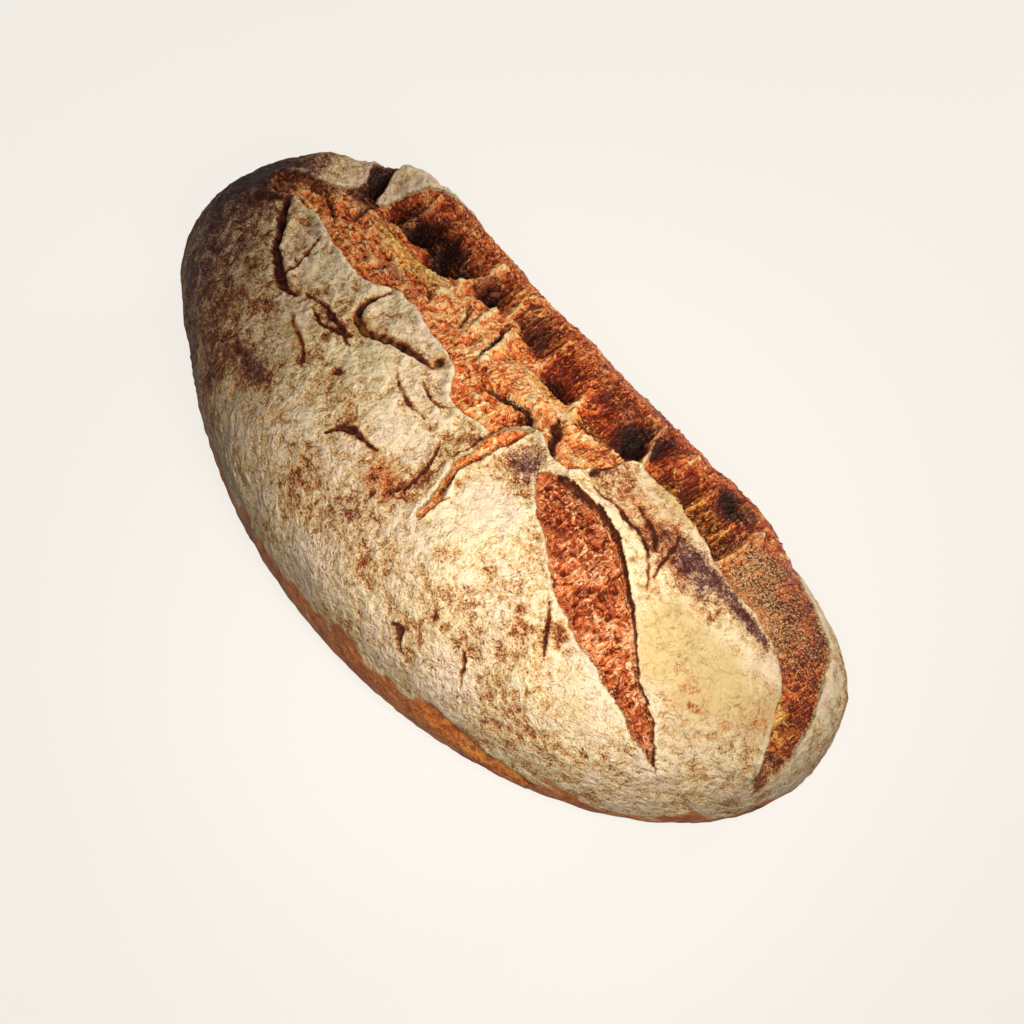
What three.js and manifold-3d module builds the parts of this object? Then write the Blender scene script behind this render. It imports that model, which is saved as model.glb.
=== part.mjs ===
// A long hand-shaped sourdough loaf, baked in one piece.
// Millimetres: X runs along the loaf, Z is up, and the flat sole rests on Z = 0.
// The side with the second, shorter score faces -Y.
import * as THREE from "three";
import { mergeVertices } from "three/addons/utils/BufferGeometryUtils.js";
import Module from "manifold-3d";

const HALF_LENGTH = 160;
const HALF_WIDTH = 70;
const HEIGHT = 94;
const BELLY_HEIGHT = 36; // the widest section, above the table
const UNDERSIDE_DEPTH = 48; // from the belly to where the round underside would close
const PLAN_ROUNDNESS = 2.15; // exponent of the outline seen from above
const CROWN_ROUNDNESS = 2.45; // exponent of the section above the belly
const UNDERSIDE_ROUNDNESS = 3.0; // exponent of the section under the belly
const BEND = 20; // how far the two ends sweep towards +Y
const WIDTH_TAPER = 0.03; // the +X half is this much wider
const CROWN_SLOPE = -0.08; // the -X end stands higher than the +X end
const FAR_SHOULDER_DROP = 3; // the crown sinks behind the main split

// Divisions of the starting box: along, across and up.
const DIVISIONS_X = 56;
const DIVISIONS_Y = 28;
const DIVISIONS_Z = 10;

// Slow swellings of the dough: [X, Y, radius, rise].
const SWELLINGS = [
  [-128, -8, 30, 4],
  [-98, 48, 22, 4],
  [88, 56, 26, 3],
  [146, 40, 22, 4],
  [128, 4, 20, 2],
];

// The main split runs the whole crown. Each pair is [X, value].
const SPLIT_NEAR_LIP = [
  [-128, 14], [-112, 9], [-96, 6], [-80, 3], [-64, 1], [-50, 6], [-30, 6],
  [-8, 4], [8, -5], [20, -1], [30, 22], [45, 27], [62, 30], [100, 30],
  [130, 27], [146, 21], [157, 10],
];
const SPLIT_FLOOR = [
  [-128, 24], [-110, 34], [-85, 42], [-50, 43], [-10, 43], [35, 45],
  [70, 46], [100, 44], [125, 40], [145, 32], [157, 16],
];
const SPLIT_FAR_LIP = [
  [-128, 34], [-110, 48], [-85, 55], [-50, 57], [0, 58], [50, 59],
  [80, 59], [105, 55], [130, 49], [147, 40], [157, 24],
];
const SPLIT_DEPTH = [
  [-128, 0], [-110, 5], [-90, 11], [-60, 11], [-30, 8], [-10, 10], [10, 10],
  [35, 13], [56, 9], [64, 12], [90, 11], [104, 6], [125, 5], [145, 4],
  [157, 0],
];

// The side score, a leaf-shaped opening below the crest, out to its tip.
const LEAF_AXIS = [
  [46, 0], [60, -1], [75, -4], [90, -10], [105, -14], [120, -19], [137, -21],
];
const LEAF_HALF_WIDTH = [
  [46, 0], [58, 8], [72, 11], [88, 12], [104, 9], [120, 5], [137, 0],
];
const LEAF_DEPTH = 3.5;
const LEAF_LIP_RISE = 1.5;

const LIP_RISE = 1.8; // the curled edge of the floured skin
const LIP_WIDTH = 5;
const STRIP_RISE = 2.5; // the ridge left standing between the two scores

// Value at x on the curve through the points, level beyond both ends.
function along(points, x) {
  if (x <= points[0][0]) return points[0][1];
  for (let i = 1; i < points.length; i++) {
    const [x0, y0] = points[i - 1];
    const [x1, y1] = points[i];
    if (x <= x1) {
      const t = (x - x0) / (x1 - x0);
      const eased = t * t * (3 - 2 * t);
      return y0 + (y1 - y0) * (0.5 * t + 0.5 * eased);
    }
  }
  return points[points.length - 1][1];
}

function ease(edge0, edge1, value) {
  const t = Math.min(1, Math.max(0, (value - edge0) / (edge1 - edge0)));
  return t * t * (3 - 2 * t);
}

function bump(distance, width) {
  return Math.exp(-((distance / width) ** 2));
}

// Height added to the crown at a place seen from above.
function crownRelief(x, y) {
  const near = along(SPLIT_NEAR_LIP, x);
  const floor = along(SPLIT_FLOOR, x);
  const far = along(SPLIT_FAR_LIP, x);
  const depth = along(SPLIT_DEPTH, x);
  const open = ease(0, 4, depth);
  let rise = 0;

  // The valley falls gently from the near lip and climbs steeply to the far one.
  if (y > near && y <= floor) rise -= depth * ease(near, floor, y);
  if (y > floor && y < far) rise -= depth * (1 - ease(floor, far, y));
  rise += LIP_RISE * open * bump(y - near + 2, LIP_WIDTH);

  // The far shoulder sinks behind the split.
  rise -= FAR_SHOULDER_DROP * ease(floor, far, y) * bump(x + 10, 110);

  // The side score and the lip that overhangs it.
  const leafY = along(LEAF_AXIS, x);
  const half = along(LEAF_HALF_WIDTH, x);
  if (half > 0.5) {
    const across = (y - leafY) / half;
    const narrow = ease(0, 9, half);
    if (Math.abs(across) < 1) rise -= LEAF_DEPTH * narrow * (1 - across ** 2);
    rise += LEAF_LIP_RISE * narrow * bump(y - leafY - half - 3, 6);
  }

  // The ridge between the scores.
  rise += STRIP_RISE * bump(x - 75, 38) * bump(y - 20, 9);

  for (const [cx, cy, radius, swell] of SWELLINGS) {
    rise += swell * bump(Math.hypot(x - cx, y - cy), radius);
  }
  return rise;
}

// Takes a direction on the unit sphere to a point of the crust.
function crustPoint(direction) {
  const { x, y, z } = direction;
  const flat = Math.hypot(x, y);
  const c = flat > 1e-9 ? x / flat : 0;
  const s = flat > 1e-9 ? y / flat : 0;
  const plan =
    flat > 1e-9
      ? (Math.abs(c) ** PLAN_ROUNDNESS + Math.abs(s) ** PLAN_ROUNDNESS) **
        (-1 / PLAN_ROUNDNESS)
      : 1;
  const roundness = z > 0 ? CROWN_ROUNDNESS : UNDERSIDE_ROUNDNESS;
  const reach =
    (flat ** roundness + Math.abs(z) ** roundness) ** (-1 / roundness);
  const u = x * plan * reach;
  const v = y * plan * reach;
  const w = z * reach;
  const px = HALF_LENGTH * u;
  const py = HALF_WIDTH * v * (1 + WIDTH_TAPER * u) + BEND * u * u;
  const rise = HEIGHT - BELLY_HEIGHT;
  const pz =
    w > 0
      ? BELLY_HEIGHT +
        rise * (1 + CROWN_SLOPE * u) * w +
        crownRelief(px, py) * ease(0.1, 0.4, w)
      : BELLY_HEIGHT + UNDERSIDE_DEPTH * w;
  return new THREE.Vector3(px, py, pz);
}

// Even-angle spacing turns the box lattice into a fairly uniform round lattice.
function spread(value) {
  return Math.tan((value * Math.PI) / 4);
}

function crustGeometry() {
  let box = new THREE.BoxGeometry(2, 2, 2, DIVISIONS_X, DIVISIONS_Y, DIVISIONS_Z);
  box.deleteAttribute("normal");
  box.deleteAttribute("uv");
  box = mergeVertices(box, 1e-4);
  const position = box.getAttribute("position");
  const direction = new THREE.Vector3();
  for (let i = 0; i < position.count; i++) {
    direction.fromBufferAttribute(position, i);
    direction.set(spread(direction.x), spread(direction.y), spread(direction.z));
    const point = crustPoint(direction.normalize());
    position.setXYZ(i, point.x, point.y, point.z);
  }
  return box;
}

const wasm = await Module();
wasm.setup();

// Cuts the round underside away at the table, which leaves the flat sole.
function trimAtTable(geometry) {
  const uncut = new wasm.Manifold(
    new wasm.Mesh({
      numProp: 3,
      vertProperties: new Float32Array(geometry.getAttribute("position").array),
      triVerts: new Uint32Array(geometry.index.array),
    }),
  );
  const trimmed = uncut.trimByPlane([0, 0, 1], 0);
  const mesh = trimmed.getMesh();
  const result = new THREE.BufferGeometry();
  const values = new Float32Array(mesh.vertProperties);
  result.setAttribute("position", new THREE.BufferAttribute(values, 3));
  result.setIndex(new THREE.BufferAttribute(new Uint32Array(mesh.triVerts), 1));
  return result;
}

const crust = trimAtTable(crustGeometry());

// The origin sits under the middle of the loaf's box, on the table.
crust.computeBoundingBox();
const middle = crust.boundingBox.getCenter(new THREE.Vector3());
crust.translate(-middle.x, -middle.y, -crust.boundingBox.min.z);
crust.computeVertexNormals();

const crustMaterial = new THREE.MeshStandardMaterial({
  color: 0xb98a58,
  roughness: 0.85,
  metalness: 0,
});

const loaf = new THREE.Mesh(crust, crustMaterial);
loaf.name = "loaf";

const group = new THREE.Group();
group.name = "sourdough_loaf";
group.add(loaf);

export default group;
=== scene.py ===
# %% [markdown]
# # A hand-shaped sourdough loaf
# The real thing is one piece: dough that was rolled in flour, cut along the crown, and torn open by
# its own steam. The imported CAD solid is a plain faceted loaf. This lesson replaces it with one finely
# modelled crust in the same place and at the same size, and paints it with one node material.

import math

import bmesh
import bpy
import numpy as np
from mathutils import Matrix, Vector


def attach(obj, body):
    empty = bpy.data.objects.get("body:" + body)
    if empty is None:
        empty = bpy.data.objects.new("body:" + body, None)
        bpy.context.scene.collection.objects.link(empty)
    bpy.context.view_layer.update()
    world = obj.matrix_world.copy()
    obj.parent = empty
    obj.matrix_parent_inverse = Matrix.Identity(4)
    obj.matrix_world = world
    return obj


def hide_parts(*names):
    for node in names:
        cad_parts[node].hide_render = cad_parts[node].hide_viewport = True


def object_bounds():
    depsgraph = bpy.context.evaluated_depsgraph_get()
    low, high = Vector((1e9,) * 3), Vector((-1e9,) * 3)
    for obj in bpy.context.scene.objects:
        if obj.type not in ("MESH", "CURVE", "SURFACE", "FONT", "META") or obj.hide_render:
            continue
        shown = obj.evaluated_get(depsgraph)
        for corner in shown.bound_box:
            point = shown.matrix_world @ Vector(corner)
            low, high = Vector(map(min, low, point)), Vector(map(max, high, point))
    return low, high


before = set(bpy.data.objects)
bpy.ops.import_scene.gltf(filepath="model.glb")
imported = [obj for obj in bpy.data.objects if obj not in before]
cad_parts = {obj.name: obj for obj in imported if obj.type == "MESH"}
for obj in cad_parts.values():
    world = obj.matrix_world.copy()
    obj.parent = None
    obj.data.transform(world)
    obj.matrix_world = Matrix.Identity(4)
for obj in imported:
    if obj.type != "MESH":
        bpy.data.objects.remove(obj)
cad_low, cad_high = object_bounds()
MM = 0.001
LENGTH = (cad_high.x - cad_low.x) / MM
WIDTH = (cad_high.y - cad_low.y) / MM
TOP = cad_high.z / MM
print(f"CAD box: {LENGTH:.1f} x {WIDTH:.1f} x {TOP:.1f} mm")

# %% [markdown]
# ## The camera
# The camera comes first, because every later choice of detail depends on how large it will be seen.
# It stands about a metre away behind a long lens, so that the loaf keeps its true proportions, looks
# down at 53 degrees, and stands to the right of the loaf's middle, so that the loaf lies across the
# picture from upper left to lower right.

# %% Camera
VIEW_AZIMUTH = math.radians(53.6)
VIEW_ELEVATION = math.radians(53.0)
VIEW_DISTANCE = 0.936
LENS = 92.85
LOAF_MIDDLE = Vector((0, 0, 0.042))
AIM_RIGHT = 0.0182
AIM_DOWN = 0.0109
SENSOR_WIDTH = 36
NEAREST_SEEN = 0.01

level = math.cos(VIEW_ELEVATION)
toward_camera = Vector(
    (math.sin(VIEW_AZIMUTH) * level, -math.cos(VIEW_AZIMUTH) * level, math.sin(VIEW_ELEVATION))
)
picture_right = Vector((math.cos(VIEW_AZIMUTH), math.sin(VIEW_AZIMUTH), 0))
picture_up = toward_camera.cross(picture_right)
aim = LOAF_MIDDLE + picture_right * AIM_RIGHT - picture_up * AIM_DOWN

camera_data = bpy.data.cameras.new("camera")
camera_data.lens = LENS
camera_data.sensor_width = SENSOR_WIDTH
camera_data.clip_start = NEAREST_SEEN
camera = bpy.data.objects.new("camera", camera_data)
camera.location = aim + toward_camera * VIEW_DISTANCE
camera.rotation_euler = (-toward_camera).to_track_quat("-Z", "Y").to_euler()
bpy.context.scene.collection.objects.link(camera)
bpy.context.scene.camera = camera
print("camera at", [round(v, 3) for v in camera.location])

# %% [markdown]
# ## The studio
# The key light hangs above the +X end on the near side, close by, as a small window would. Its spread
# is narrow and it is aimed at the middle of the loaf. It rakes along the crust, so that every grain
# and tear casts its own small shade, and it fades towards the -X end. A larger fill light, further
# off behind the loaf, opens the far side. The world is dim and warm. The floor is a plain sheet that
# glows like a light table, but its glow doesn't light the loaf.

# %% Studio values
FLOOR_COLOR = (0.13, 0.12, 0.11, 1)
FLOOR_GLOW = (0.94, 0.90, 0.83, 1)
FLOOR_GLOW_STRENGTH = 0.91
FLOOR_HALF_SIZE = 3
FLOOR_GAP = 0.0005
LIGHT_SPREAD = math.radians(46)
# Each light: its name, place, target, size, watts and color.
LIGHTS = [
    ("key", (0.31, -0.15, 0.40), (0.055, -0.03, 0.06), 0.16, 0.225, (1.0, 0.95, 0.86)),
    ("fill", (0.12, 0.70, 0.34), (0.0, 0.05, 0.04), 0.40, 0.42, (1.0, 0.93, 0.84)),
]
WORLD_COLOR = (1.0, 0.88, 0.74, 1)
WORLD_STRENGTH = 0.085
print(len(LIGHTS), "lights planned")

# %% Helpers for materials, meshes and lights
def plain_material(name, color, roughness):
    material = bpy.data.materials.new(name)
    material.use_nodes = True
    shader = material.node_tree.nodes["Principled BSDF"]
    shader.inputs["Base Color"].default_value = color
    shader.inputs["Roughness"].default_value = roughness
    return material


def link_mesh(name, mesh_builder):
    mesh = bpy.data.meshes.new(name)
    mesh_builder.to_mesh(mesh)
    mesh_builder.free()
    made = bpy.data.objects.new(name, mesh)
    bpy.context.scene.collection.objects.link(made)
    return made


def soft_light(name, place, target, size, watts, color):
    data = bpy.data.lights.new(name, "AREA")
    data.shape = "SQUARE"
    data.size = size
    data.spread = LIGHT_SPREAD
    data.energy = watts
    data.color = color
    lamp = bpy.data.objects.new(name, data)
    lamp.location = place
    lamp.rotation_euler = (Vector(target) - Vector(place)).to_track_quat("-Z", "Y").to_euler()
    bpy.context.scene.collection.objects.link(lamp)
    return lamp

# %% Floor, lights and world
floor_mesh = bmesh.new()
bmesh.ops.create_grid(floor_mesh, x_segments=1, y_segments=1, size=FLOOR_HALF_SIZE)
floor = link_mesh("floor", floor_mesh)
floor.location.z = -FLOOR_GAP
floor_paper = plain_material("floor_paper", FLOOR_COLOR, 0.9)
paper_shader = floor_paper.node_tree.nodes["Principled BSDF"]
paper_shader.inputs["Emission Color"].default_value = FLOOR_GLOW
paper_shader.inputs["Emission Strength"].default_value = FLOOR_GLOW_STRENGTH
floor.data.materials.append(floor_paper)
floor.visible_diffuse = False

for light in LIGHTS:
    soft_light(*light)

world = bpy.data.worlds.new("studio")
world.use_nodes = True
world.node_tree.nodes["Background"].inputs["Color"].default_value = WORLD_COLOR
world.node_tree.nodes["Background"].inputs["Strength"].default_value = WORLD_STRENGTH
bpy.context.scene.world = world
bpy.context.scene.view_settings.view_transform = "Standard"

# %% [markdown]
# ## Noise to sculpt with
# Bread has no straight line on it. All its lumps, wrinkles and fibres come from a few noise functions
# that give every point in space a repeatable number, so the loaf is the same each time it is baked.
# `noise` is smooth lumps, `layers` adds finer lumps on coarse ones, `creases` folds the lumps into
# sharp ridges, and `bubbles` gives the distance to scattered points, for pits and open crumb.

# %% Noise functions
HASH_A, HASH_B, HASH_C, HASH_D = 374761393, 668265263, 1440662683, 1274126177
BITS = 0xFFFFFFFF
TEN_BITS = 1023


def mixed_bits(cell, seed):
    """A repeatable 32-bit number for each whole-numbered cell."""
    h = cell[:, 0] * HASH_A + cell[:, 1] * HASH_B + cell[:, 2] * HASH_C + seed * HASH_D
    h = ((h & BITS) ^ ((h & BITS) >> 15)) * HASH_D & BITS
    h = (h ^ (h >> 13)) * HASH_B & BITS
    return h ^ (h >> 16)


def cell_vector(cell, seed):
    """Three repeatable numbers from -1 to 1 for each cell."""
    h = mixed_bits(cell, seed)
    parts = np.stack([(h >> shift) & TEN_BITS for shift in (0, 10, 20)], axis=1)
    return parts / (TEN_BITS / 2) - 1.0


NOISE_REACH = 1.5


def noise(points, scale, seed):
    """Smooth lumps about scale apart, from about -1 to 1. scale is one number or one per axis."""
    q = points / np.asarray(scale, float)
    cell = np.floor(q).astype(np.int64)
    f = q - cell
    ease_in = f * f * f * (f * (f * 6 - 15) + 10)
    total = np.zeros(len(points))
    for corner in np.ndindex(2, 2, 2):
        step = np.array(corner)
        slope = cell_vector(cell + step, seed)
        weight = np.prod(np.where(step, ease_in, 1 - ease_in), axis=1)
        total += weight * ((f - step) * slope).sum(axis=1)
    return total * NOISE_REACH


def layers(points, scale, octaves, seed, gain=0.5):
    """Noise with finer lumps on it, each layer half the size and gain times as high."""
    total, size, height = 0.0, np.asarray(scale, float), 1.0
    for octave in range(octaves):
        total = total + height * noise(points, size, seed + 17 * octave)
        size, height = size * 0.5, height * gain
    return total


def creases(points, scale, octaves, seed, gain=0.55):
    """Sharp ridges, from about 0 in the hollows to 1 on the ridges."""
    total, size, height, most = 0.0, np.asarray(scale, float), 1.0, 0.0
    for octave in range(octaves):
        total = total + height * (1 - np.abs(noise(points, size, seed + 17 * octave)) * 1.6)
        most += height
        size, height = size * 0.5, height * gain
    return total / most

# %% Bubbles and soft steps
def bubbles(points, scale, seed):
    """Distance to the nearest and the second nearest scattered point, in units of scale."""
    q = points / np.asarray(scale, float)
    cell = np.floor(q).astype(np.int64)
    nearest = np.full(len(points), 9.0)
    second = np.full(len(points), 9.0)
    for step in np.ndindex(3, 3, 3):
        here = cell + (np.array(step) - 1)
        centre = here + 0.5 + 0.45 * cell_vector(here, seed)
        d = np.sqrt(((q - centre) ** 2).sum(axis=1))
        second = np.minimum(second, np.maximum(nearest, d))
        nearest = np.minimum(nearest, d)
    return nearest, second


def ease(low, high, value):
    """0 below low, 1 above high, and a smooth step between."""
    t = np.clip((value - low) / (np.asarray(high, float) - low), 0, 1)
    return t * t * (3 - 2 * t)


def bump(distance, width):
    return np.exp(-((distance / width) ** 2))


test_points = np.random.default_rng(1).uniform(0, 100, (1000, 3))
print(f"noise spans {noise(test_points, 9, 1).min():.2f} to {noise(test_points, 9, 1).max():.2f}")

# %% [markdown]
# ## The map of the crown
# The baker's cuts and the tears that grew from them are drawn as lines on a plan of the crown, seen
# from above in millimetres, the way one would draw them on the dough with a finger. X runs along the
# loaf and Y across it. `distance_to` measures how far any point of the crust lies from such a line,
# and `depth_inside` how far it lies inside a closed outline. Both become height and colour later.

# %% Drawing and reading lines on the plan
def curve_through(points, closed=False, steps=6):
    """A smooth line through a few given points."""
    p = np.array(points, float)
    before = p[-1:] if closed else 2 * p[:1] - p[1:2]
    after = p[:2] if closed else 2 * p[-1:] - p[-2:-1]
    p = np.vstack([before, p, after])
    pieces = []
    for a, b, c, d in zip(p[:-3], p[1:-2], p[2:-1], p[3:]):
        t = np.linspace(0, 1, steps, endpoint=False)[:, None]
        pieces.append(
            0.5 * (2 * b + (c - a) * t + (2 * a - 5 * b + 4 * c - d) * t**2
                   + (3 * b - a - 3 * c + d) * t**3)
        )
    line = np.vstack(pieces)
    return line if closed else np.vstack([line, p[-2:-1]])


def distance_to(plan, line, closed=False):
    """Distance to a line, how far along it the nearest place lies (0 to 1), and which side (1 = left)."""
    best = np.full(len(plan), 1e9)
    place = np.zeros(len(plan))
    side = np.ones(len(plan))
    ends = np.roll(line, -1, axis=0) if closed else line[1:]
    starts = line if closed else line[:-1]
    for i, (a, b) in enumerate(zip(starts, ends)):
        run = b - a
        t = np.clip(((plan - a) @ run) / max(run @ run, 1e-9), 0, 1)
        gap = plan - a - t[:, None] * run
        d = np.hypot(gap[:, 0], gap[:, 1])
        closer = d < best
        best = np.where(closer, d, best)
        place = np.where(closer, (i + t) / len(starts), place)
        side = np.where(closer, np.sign(run[0] * gap[:, 1] - run[1] * gap[:, 0]), side)
    return best, place, side


def depth_inside(plan, outline):
    """Distance to a closed outline, positive inside it."""
    d, _, _ = distance_to(plan, outline, closed=True)
    inside = np.zeros(len(plan), bool)
    x, y = plan.T
    for a, b in zip(outline, np.roll(outline, -1, axis=0)):
        crosses = (a[1] > y) != (b[1] > y)
        rise = b[1] - a[1] if abs(b[1] - a[1]) > 1e-9 else 1e-9
        inside ^= crosses & (x < a[0] + (y - a[1]) * (b[0] - a[0]) / rise)
    return np.where(inside, d, -d)

# %% Outlines of the tears and the leaf
# Where the floured skin has torn away, from the -X end along the near side and back along the far.
TORN_NEAR = [
    (-131, 14), (-128, 8), (-121, 3.5), (-115, 4), (-110, 6.5), (-104, 6.5), (-97, 7), (-90, 5),
    (-82, 3), (-70, 1.5), (-60, 1.5), (-53, 4), (-48, 8.5), (-40, 7.5), (-30, 5.5), (-20, 4.5),
    (-12, 4), (-6, 3), (-2, -2), (3, -5.5), (9, -6.5), (16, -4), (22, -3), (24, 3), (27, 9),
    (32, 11), (37, 9), (43, 6.5), (49, 8), (53.5, 13), (56, 21), (58, 28), (64, 29.5), (74, 30.5),
    (88, 30), (99, 29), (110, 27), (120, 27.5), (130, 27), (138, 25), (145, 20.5), (151, 14),
    (155, 8), (157.5, 3),
]
TORN_FAR = [
    (159, 12), (157, 22), (153, 30), (146, 38), (138, 44), (128, 49), (117, 55), (104, 64),
    (80, 71), (60, 73), (40, 74), (20, 74), (0, 74), (-20, 72), (-40, 70), (-60, 66), (-78, 57),
    (-91, 50), (-97, 42), (-101, 36), (-104, 42), (-109, 50), (-115, 52), (-117, 45), (-112, 38),
    (-110, 30), (-114, 23), (-123, 18),
]
torn_outline = curve_through(TORN_NEAR + TORN_FAR, closed=True, steps=4)

# The side tear that runs down from the knot, as a narrow outline of its own.
SIDE_TEAR = [
    (23, -1), (24, -8), (25, -14), (24.5, -19), (26.5, -25), (29.5, -31), (30, -38), (31.5, -40),
    (33, -37), (32.5, -31), (29.5, -24.5), (28, -19), (29.5, -12), (29.5, -5), (30, 3), (29, 10),
]
side_tear_outline = curve_through(SIDE_TEAR, closed=True, steps=4)

# The leaf-shaped score below the crest: its upper lip, tip and lower edge.
LEAF_UPPER = [
    (45, 0), (50, 5), (58, 7), (66, 8), (76, 8), (86, 5), (95, 0), (104, -5), (113, -9.5),
    (122, -14.5), (131, -17), (138, -21),
]
LEAF_LOWER = [
    (130, -23.5), (119, -24.5), (107, -23.5), (96, -23), (88, -22), (80, -19), (71, -15), (62, -11),
    (53, -7),
]
leaf_outline = curve_through(LEAF_UPPER + LEAF_LOWER, closed=True, steps=4)
leaf_upper_lip = curve_through(LEAF_UPPER[1:], steps=4)
print("torn outline", len(torn_outline), "points; leaf", len(leaf_outline), "points")

# %% [markdown]
# ## The dough
# A baker rolls a long even roll, tapers its ends and curves it a little. Here the roll starts as a
# cube from bmesh, cut into small squares along each direction. Each vertex is then pushed out to a
# rounded box shape whose exponents set how full the sections are. The round underside closes a
# little below the table. It is cut level with the table at the end, which makes the sole.

# %% Dough values
HALF_LENGTH = LENGTH / 2
HALF_WIDTH = WIDTH / 2
HEIGHT = TOP * 0.977  # the lips and swellings add the rest
BELLY_HEIGHT = 36
UNDERSIDE_DEPTH = 48
PLAN_ROUNDNESS = 2.15
CROWN_ROUNDNESS = 2.45
UNDERSIDE_ROUNDNESS = 3.0
BEND = 20
WIDTH_TAPER = 0.03
CROWN_SLOPE = -0.08
SQUARES_ALONG, SQUARES_ACROSS, SQUARES_UP = 106, 48, 30
print(SQUARES_ALONG, "x", SQUARES_ACROSS, "x", SQUARES_UP, "squares")

# %% Dough body
def cut_cube(along_x, across_y, up_z):
    made = bmesh.new()
    bmesh.ops.create_cube(made, size=2)
    for axis, squares in ((0, along_x), (1, across_y), (2, up_z)):
        run = [e for e in made.edges if abs(e.verts[0].co[axis] - e.verts[1].co[axis]) > 0.5]
        bmesh.ops.subdivide_edges(made, edges=run, cuts=squares - 1, use_grid_fill=True)
    return made


def read_points(made):
    return np.array([v.co[:] for v in made.verts])


def write_points(made, points):
    for vertex, place in zip(made.verts, points):
        vertex.co = place


def dough_shape(cube_points):
    """Pushes points of the cube's skin out to the rounded loaf, in millimetres."""
    direction = np.tan(cube_points * math.pi / 4)
    direction /= np.linalg.norm(direction, axis=1)[:, None]
    x, y, z = direction.T
    flat = np.maximum(np.hypot(x, y), 1e-9)
    plan = (np.abs(x / flat) ** PLAN_ROUNDNESS + np.abs(y / flat) ** PLAN_ROUNDNESS) ** (
        -1 / PLAN_ROUNDNESS
    )
    power = np.where(z > 0, CROWN_ROUNDNESS, UNDERSIDE_ROUNDNESS)
    reach = (flat**power + np.abs(z) ** power) ** (-1 / power)
    u, v, w = x * plan * reach, y * plan * reach, z * reach
    crown = BELLY_HEIGHT + (HEIGHT - BELLY_HEIGHT) * (1 + CROWN_SLOPE * u) * w
    under = BELLY_HEIGHT + UNDERSIDE_DEPTH * w
    return np.stack(
        [
            HALF_LENGTH * u,
            HALF_WIDTH * v * (1 + WIDTH_TAPER * u) + BEND * u * u,
            np.where(w > 0, crown, under),
        ],
        axis=1,
    )


dough = cut_cube(SQUARES_ALONG, SQUARES_ACROSS, SQUARES_UP)
write_points(dough, dough_shape(read_points(dough)))
print("dough:", len(dough.verts), "vertices,", len(dough.faces), "squares")

# %% [markdown]
# ## Finer squares where the crust is busiest
# Squares of three millimetres are fine enough for the sole, but the torn crust has fibres thinner
# than that. Only the squares that need it are cut again with `subdivide_edges`: the whole crown once,
# and the tears, the leaf and the cracks a second time, except on the far flank, which turns away from
# the camera. That spends the triangles where the eye goes.

# %% Cracks of the floured skin
# Each crack: its points on the plan, half its width, its depth, and how far its banks are lifted.
CRACKS = [
    ([(-113, 6), (-108, 2), (-104, -2), (-98, -8), (-92, -13), (-85, -17), (-78, -19.5), (-70, -19)],
     1.5, 3.0, 1.3),
    ([(-86, 1), (-84, -4), (-82.5, -9), (-81.5, -14), (-82.5, -18)], 0.6, 1.0, 0.5),
    ([(-69, -17), (-60, -15.5), (-52, -16), (-45, -17), (-37, -19)], 0.6, 1.0, 0.5),
    ([(-62, -19), (-54, -20.5), (-46, -19), (-40, -16)], 0.5, 0.8, 0.4),
    ([(-49, 9), (-48.5, 4), (-50, 0), (-49.5, -4), (-47.5, -8), (-43, -11), (-37, -11), (-31, -8.5),
      (-24, -5.5), (-17, -3), (-10, -2)], 1.5, 3.0, 1.6),
    ([(-67, -24.5), (-60, -27.5), (-54, -29), (-48, -31.5), (-43, -35)], 0.7, 2.0, 0.8),
    ([(-15, -44), (-13, -40), (-8, -36.5), (-3, -37), (3, -35)], 0.8, 1.3, 0.6),
    ([(-17, -13), (-10, -16), (-4, -18), (4, -17)], 0.5, 0.8, 0.5),
    ([(-8, -9), (-1, -11.5), (6, -9)], 0.5, 0.7, 0.5),
    ([(15, -18), (19, -24), (20, -31), (21, -38)], 0.45, 0.7, 0.5),
    ([(83, -23), (87, -27), (91, -31), (95, -35)], 0.45, 1.5, 1.1),
    ([(27, 25), (30, 20), (33.5, 16.5), (38, 12), (43, 8)], 1.6, 3.6, 0.9),
    ([(0, 9), (7, 9.5), (14, 12), (19, 14.5), (24, 13.5), (28, 11)], 1.4, 3.4, 1.4),
    ([(28, 4), (27.5, -6), (27.6, -13), (26.6, -19), (28.4, -26), (31, -33)], 0.9, 1.8, 0.7),
    ([(22.5, 4), (22.5, -4), (23, -12), (23.2, -18)], 0.4, 0.8, 0.5),
    ([(34, -28), (32.5, -34), (33.5, -41)], 0.4, 0.8, 0.5),
    ([(60, 11.5), (70, 12.5), (80, 13.5), (88, 12.5), (95, 8), (99, 3)], 0.4, 0.8, 0.5),
    ([(89, 24), (92, 20), (94, 14), (97, 9)], 0.35, 0.7, 0.4),
    ([(74, 20), (82, 18.5), (90, 15)], 0.3, 0.6, 0.4),
    ([(56, 13), (56, 18), (57, 23)], 0.9, 1.8, 0.6),
    ([(-37, 33), (-29, 26), (-24, 17)], 0.9, 1.8, 0.7),
    ([(-22, 39), (-16, 30), (-11, 20), (-9, 13)], 1.3, 3.0, 1.2),
    ([(-66, 24), (-56, 21), (-47, 21), (-40, 17)], 0.7, 1.2, 0.6),
    ([(-118, 17), (-108, 17.5), (-100, 15), (-93, 12)], 1.0, 1.8, 0.8),
    ([(-102, 36), (-98, 27), (-93, 18)], 1.2, 2.4, 0.8),
    ([(73, -52), (76, -53.5), (78, -57)], 0.5, 1.2, 0.4),
    ([(47, -62), (51, -61), (54, -62.5)], 0.5, 1.0, 0.4),
]
CRACKS = [(curve_through(points, steps=5), *numbers) for points, *numbers in CRACKS]
print(len(CRACKS), "cracks")

# %% Finer squares
def face_middles(made):
    return np.array([f.calc_center_median()[:] for f in made.faces])


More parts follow.
